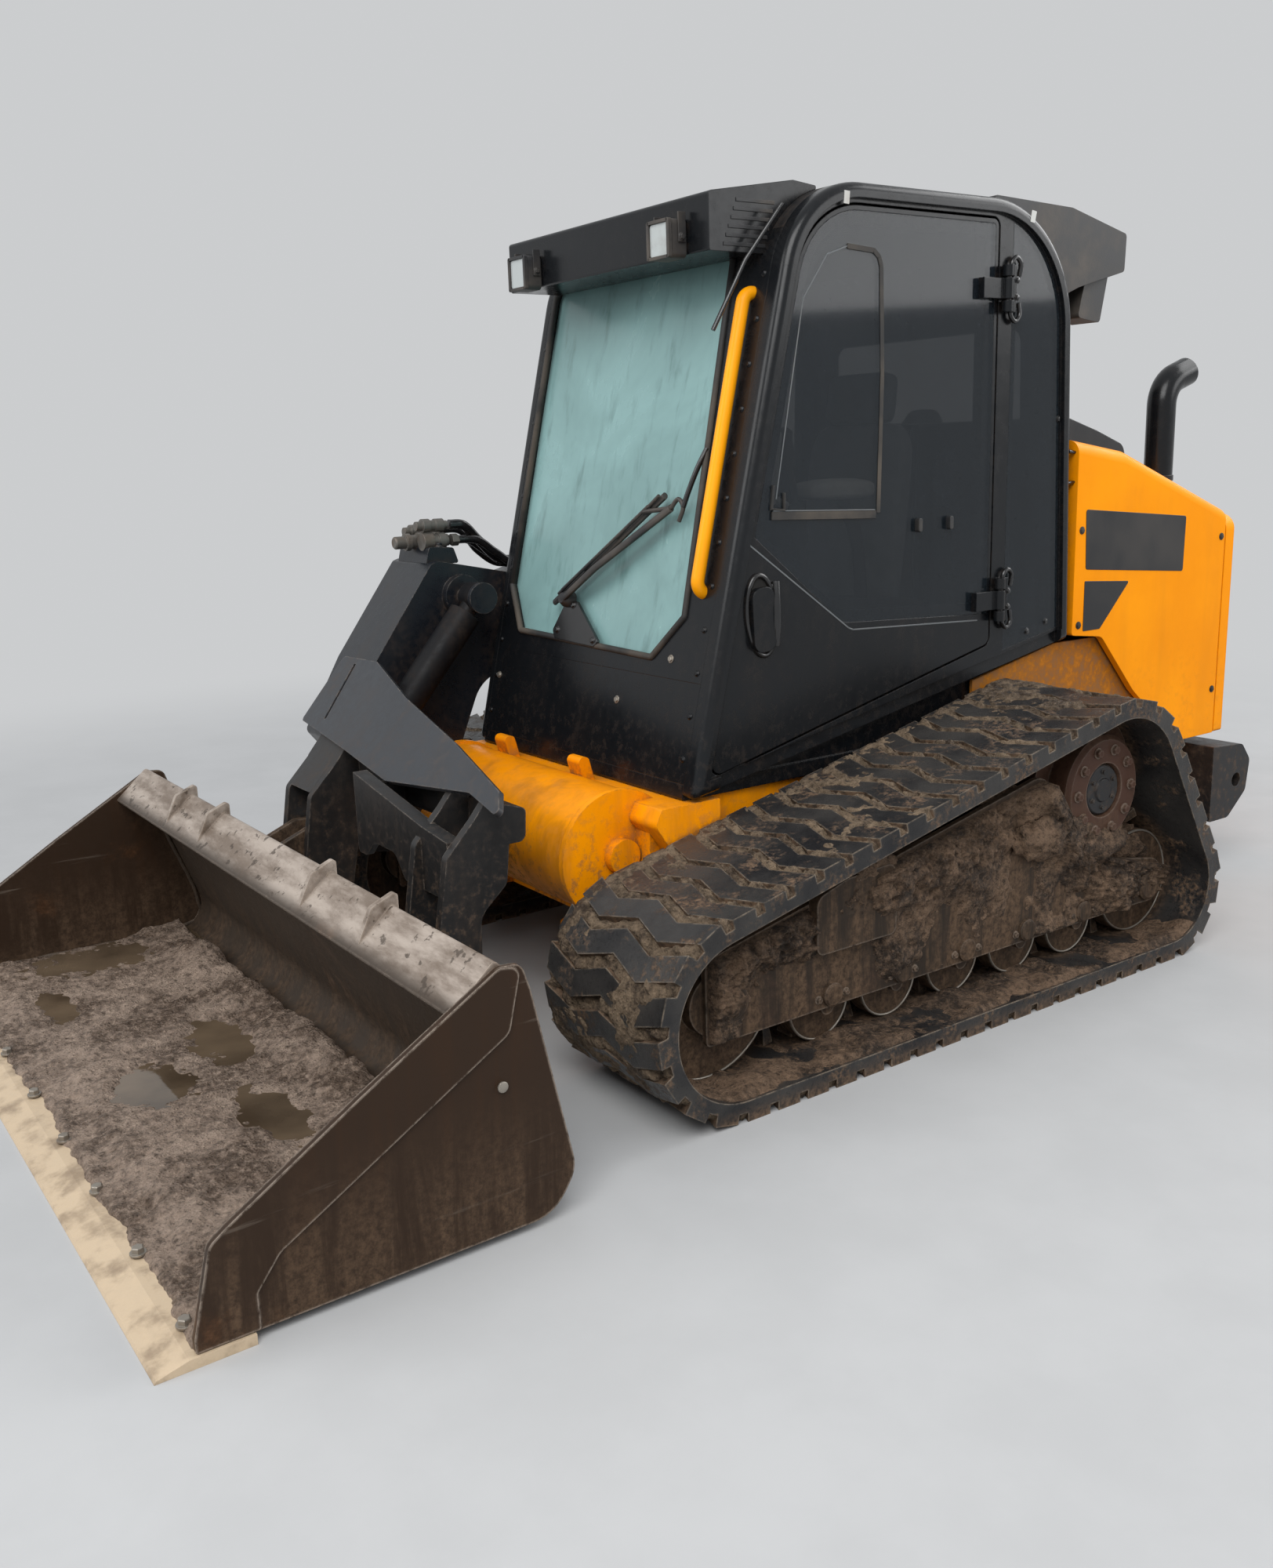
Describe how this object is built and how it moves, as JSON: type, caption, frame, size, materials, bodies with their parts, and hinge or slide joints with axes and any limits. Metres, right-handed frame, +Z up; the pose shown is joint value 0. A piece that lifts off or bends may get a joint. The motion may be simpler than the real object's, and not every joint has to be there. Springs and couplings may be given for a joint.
{
  "type": "compact track loader",
  "caption": "Compact rubber-track loader with one side lift arm, a glazed side-entry cab, a rear engine and a wide front bucket.",
  "frame": {"origin": "on the ground below the middle of the whole machine", "axes": "+X to the machine's left, +Y to its rear, +Z up; the bucket is at -Y"},
  "size_m": [2.19, 3.8784, 2.0871],
  "materials": {
    "paint_yellow": "gloss paint, dirty",
    "paint_black": "satin black paint",
    "paint_grey": "worn dark grey paint",
    "track_rubber": "worn rubber with mud",
    "muddy_steel": "steel under dried mud",
    "bucket_steel": "rusted and worn black paint",
    "worn_edge": "bare worn steel",
    "tinted_glass": "tinted safety glass",
    "lamp_lens": "clear lamp lens in a black case",
    "black_plastic": "black plastic",
    "seat_fabric": "dark seat cloth",
    "chrome_rod": "chromed cylinder rod",
    "cast_iron": "engine casting",
    "coupler_steel": "plated hydraulic couplers"
  },
  "bodies": {
    "machine": {"track_belt_left": "track_rubber", "track_belt_right": "track_rubber", "track_wheels_left": "muddy_steel", "track_wheels_right": "muddy_steel", "drive_sprocket_left": "muddy_steel", "drive_sprocket_right": "muddy_steel", "track_frame_left": "muddy_steel", "track_frame_right": "muddy_steel", "chassis_frame": "paint_yellow", "rear_bumper": "paint_black", "boom_tower": "paint_black", "cab_side_left": "paint_black", "cab_side_right": "paint_black", "cab_front_panel": "paint_black", "windscreen_frame": "paint_black", "windscreen": "tinted_glass", "cab_roof": "paint_black", "cab_rear_wall": "paint_black", "rear_window": "tinted_glass", "cab_floor": "paint_black", "roof_visor": "paint_black", "front_lamps": "lamp_lens", "roof_rear_box": "black_plastic", "rear_lamp": "lamp_lens", "driver_seat": "seat_fabric", "control_consoles": "black_plastic", "grab_handle": "paint_yellow", "engine_hood": "paint_yellow", "engine_block": "cast_iron", "radiator": "cast_iron", "hood_cover": "black_plastic", "exhaust_stack": "paint_black", "quarter_window": "tinted_glass", "right_window": "tinted_glass"},
    "boom": {"boom_arm": "paint_black", "headstock": "paint_grey", "front_guard": "paint_grey", "aux_couplers": "coupler_steel"},
    "bucket": {"bucket_shell": "bucket_steel", "bucket_sides": "bucket_steel", "cutting_edge": "worn_edge", "quick_hitch": "muddy_steel"},
    "door": {"cab_door": "paint_black", "door_glass": "tinted_glass"},
    "engine_door": {"rear_door": "paint_yellow"},
    "lift_cylinder": {"lift_barrel": "paint_black"},
    "lift_piston": {"lift_rod": "chrome_rod"},
    "tilt_cylinder": {"tilt_barrel": "paint_black"},
    "tilt_piston": {"tilt_rod": "chrome_rod"}
  },
  "joints": [
    {"name": "boom_lift", "type": "hinge", "parent": "machine", "child": "boom", "pos_m": [-0.691, 1.545, 1.45], "axis": [-1, 0, 0], "range_deg": [0, 61]},
    {"name": "bucket_tilt", "type": "hinge", "parent": "boom", "child": "bucket", "pos_m": [0, -1.005, 0.19], "axis": [1, 0, 0], "range_deg": [-25, 102]},
    {"name": "cab_door_swing", "type": "hinge", "parent": "machine", "child": "door", "pos_m": [0.562, 0.687, 1.4], "axis": [0, 0, 1], "range_deg": [0, 85]},
    {"name": "engine_door_swing", "type": "hinge", "parent": "machine", "child": "engine_door", "pos_m": [-0.544, 1.821, 0.85], "axis": [0, 0, 1], "range_deg": [0, 95]},
    {"name": "lift_cylinder_swing", "type": "hinge", "parent": "machine", "child": "lift_cylinder", "pos_m": [-0.691, 1.505, 0.9], "axis": [-1, 0, 0], "range_deg": [-0.01, 52.26]},
    {"name": "lift_rod_slide", "type": "slide", "parent": "lift_cylinder", "child": "lift_piston", "axis": [0, -0.9999, 0.0156], "range_m": [-0.0001, 0.54095]},
    {"name": "tilt_cylinder_swing", "type": "hinge", "parent": "boom", "child": "tilt_cylinder", "pos_m": [-0.467, -0.417, 1.045], "axis": [1, 0, 0], "range_deg": [-4.73, 1.16]},
    {"name": "tilt_rod_slide", "type": "slide", "parent": "tilt_cylinder", "child": "tilt_piston", "axis": [0, -0.6572, -0.7537], "range_m": [-0.07013, 0.28583]}
  ],
  "couplings": [
    {"joint": "lift_cylinder_swing", "follows": "boom_lift", "ratio": 0.85661},
    {"joint": "lift_rod_slide", "follows": "boom_lift", "m_per_rad": 0.508},
    {"joint": "tilt_cylinder_swing", "follows": "bucket_tilt", "ratio": -0.04633},
    {"joint": "tilt_rod_slide", "follows": "bucket_tilt", "m_per_rad": 0.1605}
  ]
}
